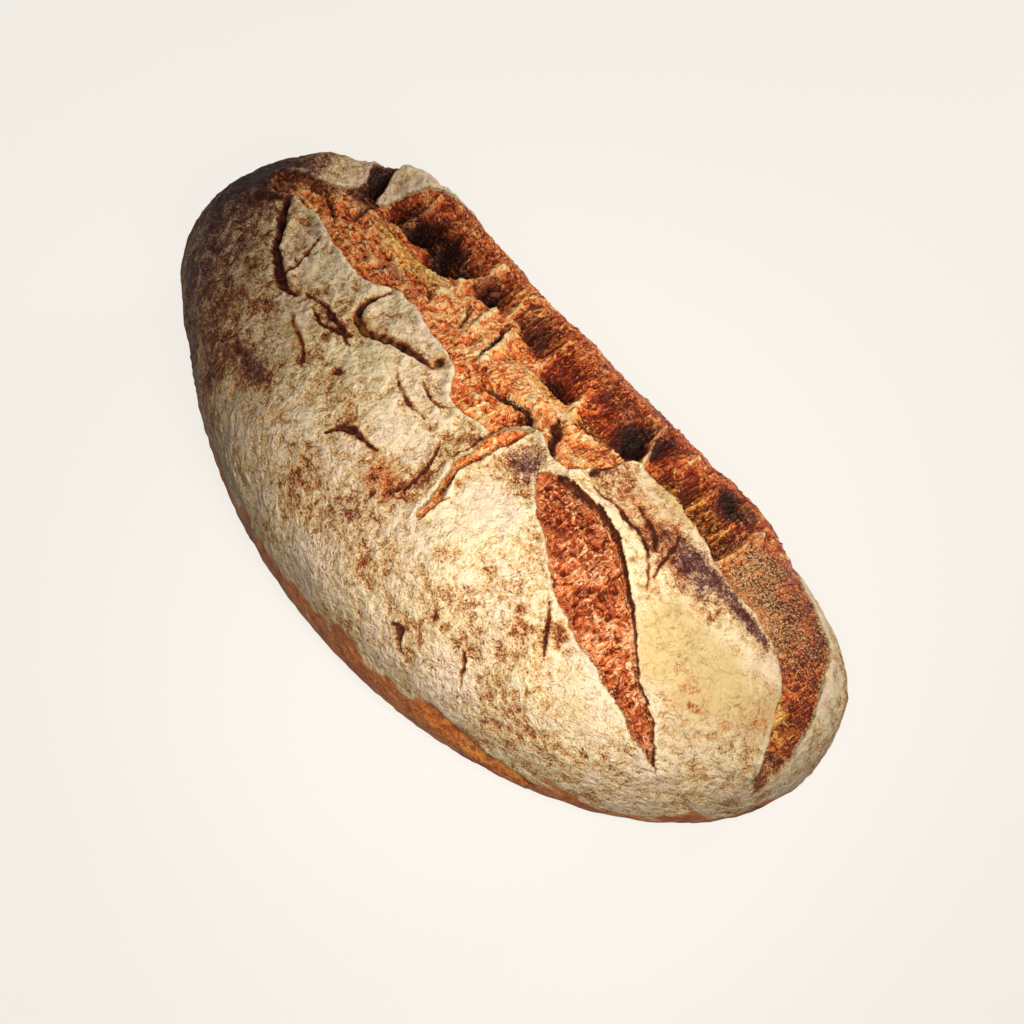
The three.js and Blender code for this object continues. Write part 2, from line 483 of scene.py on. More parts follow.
def cut_finer(made, wanted):
    faces = [f for f, pick in zip(made.faces, wanted) if pick]
    edges = list({e for f in faces for e in f.edges})
    bmesh.ops.subdivide_edges(made, edges=edges, cuts=1, use_grid_fill=True)


CROWN_FROM = 47
FAR_SIDE = 58
BUSY_RIM = 3
CRACK_REACH = 3.5
middles = face_middles(dough)
cut_finer(dough, middles[:, 2] > CROWN_FROM)

middles = face_middles(dough)
busy = np.zeros(len(middles), bool)
for outline in (torn_outline, side_tear_outline, leaf_outline):
    busy |= depth_inside(middles[:, :2], outline) > -BUSY_RIM
for line, *_ in CRACKS:
    busy |= distance_to(middles[:, :2], line)[0] < CRACK_REACH
cut_finer(dough, busy & (middles[:, 2] > CROWN_FROM) & (middles[:, 1] < FAR_SIDE))
print("finer dough:", len(dough.verts), "vertices,", len(dough.faces), "faces")

# %% [markdown]
# ## The crown's big shapes
# From here on the crust is sculpted with numpy: every vertex keeps its smooth starting place, and a
# height is added to it along its own normal. The main split is a valley: a gentle slope behind the
# near lip, a floor, and a far wall that rises to the far lip. Its edges are described by how far
# across they lie at a few places along the loaf.

# %% Where each place of the crust lies
dough.normal_update()
places = read_points(dough)
outward = np.array([v.normal[:] for v in dough.verts])
x, y, z = places.T


def shaken(far, size, seeds):
    """How far noise moves each place along and across."""
    return np.stack([far * noise(places, size, seed) for seed in seeds], axis=1)


# Hand-torn edges wander, so the plan that the lines are read on is shaken a little.
wander = shaken(1.1, 9, (11, 13)) + shaken(0.55, 3.2, (12, 14)) + shaken(0.3, 1.5, (15, 16))
plan = places[:, :2] + wander
CREST_FROM, CREST_FULL = 40, 52
on_crown = ease(CREST_FROM, CREST_FULL, z)
side_tear = depth_inside(plan, side_tear_outline)
torn = np.maximum(depth_inside(plan, torn_outline), side_tear)
leaf = depth_inside(plan, leaf_outline)
print((torn > 0).sum(), "vertices inside the tears")

# %% Profile of the main split
# Across-loaf places of the top of the slope, the floor and the far lip, then the depth of the valley,
# the rise of its far lip, and where its near slope is steep. Each pair is x and the value there.
SLOPE_TOP = [
    (-130, 14), (-110, 9), (-96, 8), (-80, 3), (-64, 1), (-50, 6), (-30, 7), (-8, 6), (4, 11),
    (14, 17), (24, 22), (34, 24.5), (45, 27), (60, 30), (100, 30), (130, 26.5), (146, 21), (157, 10),
]
VALLEY_FLOOR = [
    (-128, 24), (-112, 34), (-88, 41), (-50, 42), (-25, 44), (-5, 42), (12, 40), (30, 36),
    (45, 38), (60, 36), (100, 38), (125, 36), (145, 30), (157, 16),
]
FAR_LIP = [
    (-128, 34), (-110, 48), (-85, 54), (-50, 56), (0, 57), (50, 58), (80, 58), (105, 55),
    (130, 48), (147, 38), (157, 22),
]
VALLEY_DEPTH = [
    (-130, 0), (-114, 4), (-96, 9), (-62, 10), (-36, 7), (-22, 7), (-6, 9), (14, 9), (26, 10),
    (42, 13), (54, 11), (66, 12), (92, 11), (103, 6), (125, 4.5), (145, 3), (157, 0),
]
FAR_RISE = [
    (-130, 0), (-104, 3), (-76, 4.5), (-50, 3), (-25, 0.5), (0, 0), (30, 0.5), (60, 1), (86, 2.5),
    (112, 0), (140, 1), (157, 0),
]
FAR_LIP_WIDTH = 7
STEEP_RIM = [(-130, 0), (10, 0), (30, 1), (100, 1), (118, 0.4), (157, 0)]


def along(table, x):
    """Value at x from a short list of [x, value] pairs, with straight runs between them."""
    t = np.array(table, float)
    return np.interp(x, t[:, 0], t[:, 1])


slope_top = along(SLOPE_TOP, x)
floor_line = np.maximum(along(VALLEY_FLOOR, x), slope_top + 3)
far_line = np.maximum(along(FAR_LIP, x), floor_line + 3)
depth = along(VALLEY_DEPTH, x)
steep = along(STEEP_RIM, x)
down = np.clip((plan[:, 1] - slope_top) / (floor_line - slope_top), 0, 1)
gentle_fall = 0.35 * down + 0.65 * ease(0, 1, down)
steep_fall = 1 - (1 - down) ** 3
fall = gentle_fall * (1 - steep) + steep_fall * steep
climb = ease(0, 1, (plan[:, 1] - floor_line) / (far_line - floor_line))
valley = -depth * fall * (1 - climb)
valley += along(FAR_RISE, x) * bump(plan[:, 1] - far_line, FAR_LIP_WIDTH)
print(f"valley {-valley.min():.1f} mm deep")

# %% Swellings
# The dough also swells unevenly. Each swelling: x, y, radius and rise.
SWELLINGS = [
    (-134, -22, 28, 4), (-126, -6, 26, 2.5), (-98, 50, 20, 4), (88, 56, 26, 2.5), (140, 46, 24, 5),
    (128, 4, 20, 2), (-34, 1, 9, 1.4), (-128, 30, 10, 5), (-104, 54, 8, 2.5), (75, 20, 26, 2.5),
    (140, 10, 16, 2.5),
    (-20, -45, 22, 1.4), (48, -30, 16, 1.6), (-75, -8, 12, 1.2), (100, 2, 9, 1.0), (-18, -16, 15, 1.2),
    (12, -30, 9, -0.9), (62, -38, 10, -0.7), (100, -38, 16, 1.2), (-60, -40, 14, -0.8),
]


def round_spots(spots):
    total = np.zeros(len(places))
    for cx, cy, radius, strength in spots:
        total += strength * bump(np.hypot(x - cx, y - cy), radius)
    return total


swell = round_spots(SWELLINGS)
swell += 1.2 * noise(places, 48, 21) + 1.0 * noise(places, 24, 22) + 0.55 * noise(places, 11, 23)
swell = swell * ease(14, 44, z)
print(f"swellings up to {swell.max():.1f} mm")

# %% [markdown]
# ## Lips, webs and holes
# Where the skin tore, its edge dried first and curled up, and the crust inside sits lower. Steam also
# left thin webs of dough standing across the valley, rolls of dough pushed up between them, and holes
# that reach deep into the far wall. The lip is a narrow rise outside the outline and a sudden step
# inside it. Webs are ridges along short lines, rolls and holes are soft spots of rise or sink.

# %% Lips
LIP_STEP = 1.8
LIP_RISE = 1.2
LIP_SHOULDER = 0.7
SIDE_TEAR_SINK = 1.0
lip_side = -torn
lip = LIP_RISE * bump(lip_side - 0.9, 1.5) * (lip_side > -0.6)
lip = lip + LIP_SHOULDER * bump(lip_side - 3, 4.5) * (lip_side > 0)
near_side = ease(0, 6, floor_line - plan[:, 1])
edge = lip * (0.45 + 0.55 * near_side) - LIP_STEP * ease(-0.3, 1.2, torn) * (0.4 + 0.6 * near_side)
edge -= SIDE_TEAR_SINK * ease(0.2, 2.4, side_tear)
print(f"lips up to {edge.max():.1f} mm")

# %% Webs, rolls and holes
# Each web: its points, its height and half its thickness.
WEBS = [
    ([(-32, 43), (-27, 33), (-22, 24), (-18, 14)], 2.6, 1.4),
    ([(-20, 42), (-14, 32), (-9, 22), (-6, 13)], 2.4, 1.5),
    ([(44, 55), (49, 48), (54, 40), (57, 31)], 6.5, 1.1),
    ([(98, 53), (99, 46), (99.5, 38), (101, 31)], 2.4, 1.6),
    ([(76, 53), (78, 45), (79, 37), (80, 32)], 1.6, 1.1),
    ([(66, 54), (67, 46), (69, 38), (70, 33)], 1.2, 1.0),
    ([(89, 52), (90, 44), (91, 37), (92, 32)], 1.6, 1.0),
    ([(60, 57), (61, 51), (63, 47)], 2.0, 1.2),
    ([(-49, 42), (-46, 33), (-45, 24)], 1.6, 2.0),
    ([(18, 46), (20, 39), (24, 32), (27, 26)], 3.4, 1.6),
    ([(-86, 51), (-85, 46), (-87, 41)], 2.4, 1.6),
    ([(-70, 50), (-72, 44), (-73, 39)], 1.6, 1.2),
    ([(-46, 52), (-47, 45), (-49, 39)], 3.0, 1.8),
    ([(-28, 52), (-26, 46), (-24, 40)], 2.4, 1.6),
    ([(-3, 52), (-2, 46), (-2, 39)], 2.4, 1.5),
    ([(30, 44), (36, 41), (40, 35)], 1.4, 1.6),
    ([(1, -1), (5, -2.5), (10, -2), (16, 0), (21, 4)], 1.3, 0.9),
    ([(-1, 4), (5, 3), (12, 4.5), (18, 8)], 1.1, 0.9),
    ([(26, 4), (25.6, -6), (26, -13), (25.2, -19), (27.4, -25.5), (30.4, -33)], 1.9, 0.8),
    ([(29.4, 4), (29, -6), (28.8, -13), (27.6, -19), (29.6, -26), (32, -33)], 1.7, 0.7),
]
# Each roll or hole: x, y, half length, half width, and how far it rises or sinks.
SPOTS = [
    (9, 21, 17, 8, 2.8), (-4, 12, 8, 5, 1.2), (-62, 13, 15, 5, 1.4), (-110, 11, 12, 4.5, 2.6),
    (-108, 24, 8, 5, 3.0), (-84, 11, 10, 4, 1.2), (-70, 28, 26, 6, 1.4), (-40, 22, 7, 6, 1.8),
    (-37, 36, 6, 4, 1.2), (50, 18, 5.5, 6, 1.8), (122, 38, 10, 6, 0.9), (134, 31, 5, 3.5, 1.2),
    (-13, 27, 4, 8, 1.2), (-92, 41, 4, 2.6, -4.5), (-79, 43, 6, 3.6, -8), (-68, 46.5, 4, 2.2, -5.5),
    (-62, 41.5, 5.5, 4.4, -8.5), (-52, 44, 3, 3, -5), (-37, 44, 6, 3.5, -4.5),
    (-13, 45, 8, 3.5, -4.5), (8, 39, 8.5, 4, -8),
    (28, 33, 5, 2.5, -2), (46, 48, 9, 6, -5), (34, 43, 8, 4, -3), (61, 38, 2.5, 5, -1.6),
    (73, 40, 2.5, 6, -1.6), (85, 39, 3, 6, -1.6), (95, 39, 2.5, 6, -1.6), (-107, 44, 3.5, 7, -6),
    (21, 11.5, 5, 2, -2.4), (84, 52, 6, 2.5, -2), (10, 1, 8, 2.5, 0.8), (30, 53, 12, 3, -1.5),
]
webs = np.zeros(len(places))
for points, rise, half in WEBS:
    d, place, _ = distance_to(plan, curve_through(points, steps=5))
    webs += rise * np.exp(-((d / half) ** 1.5)) * (0.7 + 0.3 * np.sin(place * math.pi))
spots = np.zeros(len(places))
pulled_plan = plan + shaken(2.6, 7, (17, 18))
for cx, cy, half_length, half_width, rise in SPOTS:
    r = np.hypot((pulled_plan[:, 0] - cx) / half_length, (pulled_plan[:, 1] - cy) / half_width)
    spots += rise * np.exp(-(r**2.6))
inside_torn = ease(-0.3, 2.0, torn)
webs *= inside_torn
spots *= inside_torn
print(f"webs up to {webs.max():.1f} mm, holes down to {spots.min():.1f} mm")

# %% [markdown]
# ## The leaf, the cracks and the skin
# The leaf-shaped score opened only a little. Its floor is bubbly and almost level with the skin, and
# its upper lip hangs over a dark crevice. The skin around is full of short cracks with lifted banks,
# fine wrinkles where the tears pulled at it, low pebbly lumps, and a few pits.

# %% Heights of the leaf
LEAF_SINK = 2.4
CREVICE_DEPTH = 3.0
leaf_crevice, leaf_place, leaf_side = distance_to(plan, leaf_upper_lip)
leaf_floor = -LEAF_SINK * ease(-0.3, 2.0, leaf) + 1.2 * ease(3, 9, leaf)
leaf_floor -= CREVICE_DEPTH * bump(leaf_crevice - 0.8, 0.9) * (leaf > 0)
leaf_lip = (leaf < 0.4) * (leaf_side > 0) * (
    1.6 * bump(leaf_crevice - 0.8, 1.6) + 0.9 * bump(leaf_crevice - 2.5, 5)
)
leaf_lip += 0.6 * bump(leaf + 0.9, 1.3) * (leaf_side < 0) * (leaf < 0.4)
leaf_tip_fade = ease(0, 0.06, leaf_place) * ease(0, 0.05, 1 - leaf_place)
leaf_height = leaf_floor + leaf_lip * (0.3 + 0.7 * leaf_tip_fade)
print(f"leaf {leaf_height.min():.1f} to {leaf_height.max():.1f} mm")

# %% Heights of the cracks
cracks = np.zeros(len(places))
crack_open = np.full(len(places), -9.0)
ragged = 0.35 * noise(places, 2.2, 37)
for line, half, sink, lift in CRACKS:
    d, place, side = distance_to(plan, line)
    taper = np.clip(4.5 * place * (1 - place), 0, 1) ** 0.6
    cracks -= sink * taper * np.exp(-((d / half) ** 2.4))
    cracks += lift * taper * bump(d - half * 2.0, half * 1.4) * np.where(side > 0, 1.0, 0.4)
    crack_open = np.maximum(crack_open, half * taper - d + ragged * min(half, 1.0))
# The crevice under the leaf's upper lip counts as a crack, so it is painted dark as shade.
crack_open = np.maximum(crack_open, np.where(leaf > -0.6, 0.7 - 1.2 * np.abs(leaf_crevice - 0.4), -9))
# Each pit in the skin: x, y, radius and depth.
PITS = [(-32, -28, 1.5, 2.2), (-12, 0, 2.0, 1.6), (60, -52, 1.0, 1.0), (14, -45, 1.1, 1.0)]
# Pits are painted dark as shade, like the cracks.
for cx, cy, radius, sink in PITS:
    d = np.hypot(plan[:, 0] - cx, plan[:, 1] - cy)
    cracks -= sink * np.exp(-((d / radius) ** 2.4))
    crack_open = np.maximum(crack_open, radius * 0.9 - d)
print(f"cracks {-cracks.min():.1f} mm deep")

# %% Wrinkles and pebbles of the skin
on_skin = 1 - ease(-1.2, 0.2, np.maximum(torn, leaf))
# Where the skin is wrinkled: x, y, radius and strength.
WRINKLED = [(-92, -10, 22, 0.8), (-52, -18, 22, 1.0), (-2, -12, 16, 1.0), (28, -20, 18, 0.7),
            (80, 18, 26, 1.0), (86, -32, 12, 0.6), (18, -50, 14, 0.5), (-70, 0, 16, 0.5)]
pulled = np.clip(0.12 + round_spots(WRINKLED), 0, 1)
drawn = places.copy()
drawn[:, :2] += shaken(1.8, 8, (39, 40))
wrinkles = (creases(drawn, (7, 4.5, 5), 3, 31) - 0.62) * 1.5 * pulled
wrinkles += (creases(drawn, 5.0, 3, 33) - 0.6) * 0.9
pebbles = 0.35 * noise(drawn, 4.2, 34) + 0.32 * noise(places, 2.4, 35) + 0.2 * noise(places, 1.5, 36)
skin = on_skin * (wrinkles + pebbles)
print(f"skin relief {skin.min():.2f} to {skin.max():.2f} mm")

# %% [markdown]
# ## Torn crust
# Inside the tears the crumb was pulled apart, so the surface is fibrous. Towards the -X end the
# fibres run along the loaf, and from the middle on they fan out across it, from the lip down into the
# hollows. Stretched creases make the bundles of fibres, unstretched ones make shreds, and the walls
# between scattered bubbles make the open crumb of the leaf.

# %% Heights of the torn crust
bent = places.copy()
bent[:, :2] += shaken(2.4, 13, (41, 42))
fan = ease(-44, -20, x + 0.3 * y)
slant = np.stack([bent[:, 0] - 0.35 * bent[:, 1], bent[:, 1], bent[:, 2]], axis=1)
bundles = creases(bent, (15, 2.6, 5), 3, 43) * (1 - fan) + creases(slant, (2.6, 14, 9), 3, 44) * fan
shreds = creases(bent, (5.0, 5.5, 5), 3, 45) - 0.6
lumps = 0.6 * noise(bent, 10, 46) + 0.4 * noise(bent, 5, 48)
flakes = creases(bent, 2.5, 2, 54) - 0.6
near_pit, next_pit = bubbles(bent, (3.2, 2.8, 2.8), 47)
pits = np.clip(next_pit - near_pit, 0, 0.6) / 0.6
pinholes = ease(0.34, 0.16, near_pit) * ease(0.0, 0.25, noise(places, 6, 55))

# Where the torn crust pulled into fibres, and below it where it is shredded.
FIBROUS = [(-70, 28, 26, 9, 1.0), (-100, 12, 16, 8, 0.5), (12, 32, 22, 7, 0.8), (-22, 26, 14, 12, 0.5),
           (80, 41, 26, 10, 0.9), (36, 36, 12, 9, 0.7)]
SHREDDED = [(-62, 13, 22, 6, 0.8), (10, 0, 12, 6, 1.0), (-30, 15, 22, 8, 1.0), (-62, 50, 26, 6, 1.0),
            (-15, 52, 30, 5, 1.0), (30, 17, 8, 9, 1.0), (80, 53, 30, 4, 0.8), (-80, 11, 16, 5, 0.6)]


def spread(spots):
    """Soft spots on the plan: x, y, radius along, radius across and strength of each."""
    total = np.zeros(len(places))
    for cx, cy, rx, ry, strength in spots:
        total += strength * bump(np.hypot((plan[:, 0] - cx) / rx, (plan[:, 1] - cy) / ry), 1.0)
    return total


fibrous = np.clip(0.5 + spread(FIBROUS), 0, 1)
shredded = np.clip(0.45 + spread(SHREDDED), 0, 1)
smooth_tongue = 1 - 0.7 * ease(100, 112, x)
torn_relief = 2.4 * (bundles - 0.62) * fibrous + 2.4 * shreds * shredded + 0.8 * lumps
torn_relief += 1.3 * flakes * (0.5 + 0.5 * shredded) - 1.3 * pinholes - 0.25 * pits
torn_relief *= smooth_tongue
leaf_relief = -1.3 * pits + 1.0 * shreds + 0.9 * flakes - 0.9 * pinholes + 0.8 * noise(bent, 6, 52)
inside_leaf = ease(0.2, 2.2, leaf)
fine = inside_torn * torn_relief * ease(0.0, 2.5, torn) + inside_leaf * leaf_relief
print(f"torn relief {fine.min():.2f} to {fine.max():.2f} mm")

# %% [markdown]
# ## The rim and the sole
# Low on the near side, where the skin met the basket's edge, no flour stuck, and one large bubble
# burst and left a smooth hollow. It is a dent that follows a short line on the flank, seen from the
# side. Below it the crust tucks in to the flat sole.

# %% Rim hollow
HOLLOW_HALF_WIDTH = 5.2
HOLLOW_DEPTH = 4.6
RIM_HEIGHT = 18
RIM_SPREAD = 14
HOLLOW_LINE = curve_through([(66, 33), (74, 31), (84, 27), (94, 24), (103, 22)], steps=5)
flank = np.stack([x + 0.4 * wander[:, 0], z + 0.4 * wander[:, 1]], axis=1)
hollow_d, hollow_place, _ = distance_to(flank, HOLLOW_LINE)
near_flank = ease(0.1, 0.5, -outward[:, 1])
hollow_half = HOLLOW_HALF_WIDTH * np.clip(4 * hollow_place * (1 - hollow_place) + 0.15, 0, 1) ** 0.5
hollow = ease(0, 0.75, 1 - hollow_d / np.maximum(hollow_half, 0.1)) * near_flank
hollow_in = (hollow_half - hollow_d) * near_flank - 9 * (1 - near_flank)

rim_relief = (creases(places, (9, 9, 5), 3, 61) - 0.6) * 0.9 * bump(z - RIM_HEIGHT, RIM_SPREAD)
print(f"rim hollow {HOLLOW_DEPTH * hollow.max():.1f} mm deep")

# %% The finished crust
LIP_LEAN = 0.8
LEAF_LEAN_ALONG, LEAF_LEAN_ACROSS = 0.4, 0.9
SKIN_FROM, SKIN_FULL = 8, 30
above_sole = ease(SKIN_FROM, SKIN_FULL, z)
height = on_crown * (valley + edge + webs + spots + leaf_height + cracks + fine)
height = height + swell + skin * above_sole - HOLLOW_DEPTH * hollow + rim_relief
height = height + (1 - above_sole) * ease(1.0, 6.0, z) * 0.35 * layers(places, 6, 3, 63)

sculpted = places + outward * height[:, None]
# The lips lean over the crust they were torn from.
lean = on_crown * np.where(torn < 0.5, 1.0, 0.0) * bump(lip_side - 0.7, 1.4) * near_side
sculpted[:, 1] += LIP_LEAN * lean
lean_leaf = on_crown * (leaf < 0.4) * (leaf_side > 0) * bump(leaf_crevice - 0.7, 1.5)
sculpted[:, 1] -= LEAF_LEAN_ACROSS * lean_leaf
sculpted[:, 0] -= LEAF_LEAN_ALONG * lean_leaf

on_sole = places[:, 2] <= 0.01
sculpted[:, 2] = np.where(on_sole, 0.0, np.maximum(sculpted[:, 2], 0.0))
write_points(dough, sculpted * MM)
bmesh.ops.triangulate(dough, faces=dough.faces[:])
bmesh.ops.recalc_face_normals(dough, faces=dough.faces[:])
for face in dough.faces:
    face.smooth = True
loaf = link_mesh("loaf_crust", dough)
print("crust:", len(loaf.data.vertices), "vertices,", len(loaf.data.polygons), "triangles")

# %% [markdown]
# ## What the paint has to know
# The material needs to know where the skin is torn and how far inside a tear a point lies. The
# distances that shaped the crust are stored on the vertices as attributes, in millimetres, so the
# shader can draw an edge much finer than the mesh, and so that colour and shape can't disagree.

# %% How much flour lies where
# The relief also drives the paint: low places darker as painted shade, high ones paler as painted
# highlight.
relief = fine + webs + 0.3 * spots + skin


def store(name, values):
    attribute = loaf.data.attributes.new(name, "FLOAT", "POINT")
    attribute.data.foreach_set("value", np.asarray(values, np.float32))


# More flour where the strength is above 0, and bare crust where it is below. The bare patches at the -X
# end also paint shade there.
FLOURED = [
    (-20, -18, 22, 10, 0.30), (-25, -45, 5, 4, 0.35), (46, -24, 14, 18, 0.28), (122, 8, 20, 15, 0.35),
    (112, -35, 16, 8, 0.15), (4, -26, 12, 7, 0.2), (78, 10.5, 20, 1.6, 0.6), (-44, 2, 10, 5, 0.25),
    (-78, -6, 14, 7, 0.2), (-122, 30, 10, 7, 0.1), (-102, 52, 12, 6, 0.45), (64, -50, 10, 5, 0.15),
    (12, -39, 10, 7, -0.55), (21, -36, 4, 10, -0.3), (-53, -46, 10, 5, -0.5), (-70, -47, 16, 8, -0.3),
    (-85, -30, 12, 12, -0.2), (6, -55, 26, 6, -0.35), (-14, -53, 10, 6, -0.35), (73, -33, 11, 5, -0.4),
    (76, -48, 24, 7, -0.28), (41, 0, 10, 8, -0.5), (48, -7, 7, 3, -0.3), (104, 21, 10, 7, -0.4),
    (126, 25, 24, 1.8, -0.6), (78, 20, 24, 8, -0.62), (-3, -13, 8, 6, -0.35), (130, -2, 12, 9, -0.22),
    (114, 10, 7, 5, -0.12), (-8, -37, 10, 3, -0.3), (-52, -17, 18, 3, -0.35), (-86, -5, 3, 8, -0.3),
    (-130, -2, 24, 34, -0.35), (-112, -30, 28, 22, -0.45), (-90, -48, 26, 14, -0.3),
    (26, -18, 8, 16, -0.2), (92, -27, 4, 5, -0.4), (150, 8, 8, 12, -0.25),
    (-138, 12, 18, 20, -0.8), (-125, 6, 8, 5, -0.5),
]
flour = 0.64 + spread(FLOURED) + 0.15 * layers(places, 15, 3, 71, gain=0.75)
flour += 0.35 * bump(np.maximum(torn, leaf) + 0.9, 0.9)
flour_line = z + 9 * noise(places, 17, 73) + 6 * noise(places, 6, 74) + 8 * ease(60, 150, x)
flour_line -= 5 * bump(x - 10, 60)
flour -= 0.8 * ease(-0.7, 0.3, crack_open)
# Flour that fell inside the tears. Elsewhere in them only stray grains show.
DUSTED = [
    (126, 36, 28, 14, 0.56), (105, 48, 12, 10, 0.45), (70, 66, 44, 8, 0.15),
    (50, 18, 6, 6, 0.25), (-125, 18, 10, 8, 0.3), (-60, 15, 16, 4, 0.15),
]
flour = np.where(torn > 0.5, spread(DUSTED), flour)
print(f"flour {flour.min():.2f} to {flour.max():.2f}")

# %% Tears, low places and far side
torn_low = 46 + 7 * noise(places, 16, 91) + 5 * noise(places, 6, 92)
for name, values in (
    ("torn", np.minimum(torn, z - torn_low)), ("leaf", np.minimum(leaf, z - CROWN_FROM)),
    ("crack", crack_open), ("flour", flour), ("relief", relief), ("hollow", hollow_in), ("fan", fan),
):
    store(name, values)
# Painted shade: the far wall of the valley is darkened, less near the far lip, and the tongue at the +X
# end a little. The near slope of the torn crust, from about x = -25 on, gets a little painted light. All
# of it is stored as "deep".
far_wall_shade = ease(floor_line - 9, floor_line + 4, plan[:, 1]) * (0.75 + 0.35 * ease(-20, 10, x))
far_wall_shade *= 1 - 0.45 * ease(50, 58, plan[:, 1])
near_slope_light = ease(-50, -25, x) * (1 - far_wall_shade) * ease(4, 10, plan[:, 1]) * ease(0, 3, torn)
tongue_end_shade = bump(np.hypot((x - 132) / 30, (y - 36) / 16), 1.0)
store("deep", (far_wall_shade - 0.15 * near_slope_light) * on_crown + 0.2 * tongue_end_shade)
print("far side covers", int((far_wall_shade > 0.5).sum()), "vertices")

# %% Dark, golden and rim places
# Where the crust baked darkest, plus painted shade in the holes, along the far wall and at both ends; and
# below it where it turned golden.
DARK_AND_SHADE = [
    (-64, 45, 20, 6, 1.0), (-86, 42, 8, 5, 0.9), (-36, 47, 9, 4, 0.6), (-10, 47, 12, 4, 0.7),
    (8, 40, 9, 4, 0.9), (44, 49, 11, 7, 1.0), (20, 66, 70, 9, 0.35), (-60, 15.5, 15, 4, 0.75),
    (-110, 37, 9, 13, 1.1), (84, 53, 12, 4, 0.7), (-22, 13, 5, 4, 0.35), (-100, 32, 3, 8, 0.5),
    (22, 11.5, 6, 2.5, 0.7), (32, 18, 6, 5, 0.55), (-116, 20, 12, 3, 0.4),
    (40, 0, 9, 8, 0.8), (103, 21, 11, 6, 0.8), (126, 25, 22, 2.4, 0.9), (80, 20, 26, 9, 0.35),
    (122, 40, 26, 9, 0.50),
    (14, -52, 30, 7, 0.5), (-60, -45, 18, 8, 0.5), (74, -44, 22, 10, 0.6), (28, -17, 2.5, 12, 0.3),
    (-136, 10, 18, 24, 1.0), (124, 4, 14, 12, 0.5), (-112, -24, 24, 26, 0.6),
]
# The wide golden place at the +X end also yellows and darkens the flour there as painted shade.
GOLDEN = [
    (-70, 29, 27, 6, 0.9), (-5, 28, 16, 4, 0.5), (34, 34, 12, 7, 0.9), (80, 41, 26, 9, 1.0),
    (12, 31, 10, 4, 0.6), (-108, 12, 12, 5, 0.3), (80, 29.5, 22, 1.2, 0.5), (-15, 43, 10, 4, 0.4),
    (12, -40, 11, 9, 0.6), (150, 18, 7, 7, 0.6), (-60, -55, 40, 6, 0.3), (134, 31, 6, 4, 0.6),
    (-43, -10, 8, 3, 0.9), (-31, -8, 9, 2.5, 0.8), (-56, -29, 9, 3, 0.8), (-12, 0, 4, 3, 1.0),
    (110, -36, 14, 8, 0.4), (124, 3, 26, 17, 0.9),
    (-20, 50, 26, 6, 0.5), (30, 52, 20, 5, 0.5), (28, -14, 5, 20, 0.35), (-60, 57, 20, 4, 0.4),
    (-52, -17, 18, 4, 0.3), (80, 20, 24, 8, 0.4),
]
RIM_FROM, RIM_TO = 26, 36
store("rim", 1 - ease(RIM_FROM, RIM_TO, flour_line))
store("dark", spread(DARK_AND_SHADE) + 0.15 * layers(places, 8, 3, 81, gain=0.75))
store("golden", spread(GOLDEN) + 0.12 * layers(places, 12, 2, 83))
print("attributes:", [a.name for a in loaf.data.attributes if a.domain == "POINT"])

# %% [markdown]
# ## The crust's paint, first the brushes
# One material covers the loaf, because on real bread everything is the same dough, browned more or
# less. Small helpers keep the node tree readable: `speckle` is a noise whose size is given in
# millimetres, `step` turns a number into a soft mask, `blend` lays one colour over another.

# %% Node helpers
crust = plain_material("crust", (0.6, 0.4, 0.2, 1), 0.8)
tree = crust.node_tree
shader = tree.nodes["Principled BSDF"]
place_on_loaf = tree.nodes.new("ShaderNodeTexCoord").outputs["Object"]


def feed(socket, value):
    if isinstance(value, bpy.types.NodeSocket):
        tree.links.new(value, socket)
    else:
        socket.default_value = value


def node(kind, inputs, output=0, **settings):
    """Adds a node, feeds its inputs and gives back one output."""
    made = tree.nodes.new("ShaderNode" + kind)
    for name, value in settings.items():
        setattr(made, name, value)
    for socket, value in inputs.items():
        feed(made.inputs[socket], value)
    return made.outputs[output]


def read(name):
    return node("Attribute", {}, "Fac", attribute_name=name)


def speckle(size, octaves=2, roughness=0.5, stretch=(1, 1, 1), twist=0):
    """Noise from 0 to 1 with lumps about size millimetres apart."""
    scale = [1 / (size * MM * s) for s in stretch]
    place = node("Mapping", {"Vector": place_on_loaf, "Scale": scale})
    detail = {"Detail": octaves, "Roughness": roughness, "Distortion": twist}
    return node("TexNoise", {"Vector": place, "Scale": 1, **detail})

# %% Masks and colors
def calc(operation, a, b=0.0, c=0.0):
    return node("Math", {0: a, 1: b, 2: c}, operation=operation)


def step(value, low, high):
    """0 below low, 1 above high, with a smooth step between."""
    inputs = {"Value": value, "From Min": low, "From Max": high}
    return node("MapRange", inputs, interpolation_type="SMOOTHSTEP")


def blend(amount, under, over):
    return node("Mix", {0: amount, 6: under, 7: over}, 2, data_type="RGBA")


def tones(value, *stops):
    """A run of colours: each stop says at what value its colour is reached."""
    reached, mixed = stops[0]
    for where, tone in stops[1:]:
        mixed = blend(step(value, reached, where), mixed, tone)
        reached = where
    return mixed


def color(red, green, blue):
    """A colour as one sees it on a screen, from 0 to 255, as the linear light that the nodes use."""
    seen = np.array([red, green, blue]) / 255
    linear = np.where(seen < 0.04045, seen / 12.92, ((seen + 0.055) / 1.055) ** 2.4)
    return (*linear.tolist(), 1)


print("mid grey, linear:", [round(v, 2) for v in color(128, 128, 128)])

# %% [markdown]
# ## Floured skin
# Before it went into the oven the loaf was dusted with flour. The flour grains stay pale, and
# between them the skin shows through: red-brown over most of the loaf, orange where it is golden, and
# purple-brown where it baked longest and, at both ends, as painted shade. The stored `flour` value says
# how much lies there. Noises from the size of a grain to the size of a thumb decide which places are
# worn bare. The mesh relief and the same noises that raise the bump also set the colour, so low places
# are painted darker as shade and high ones paler as highlight.

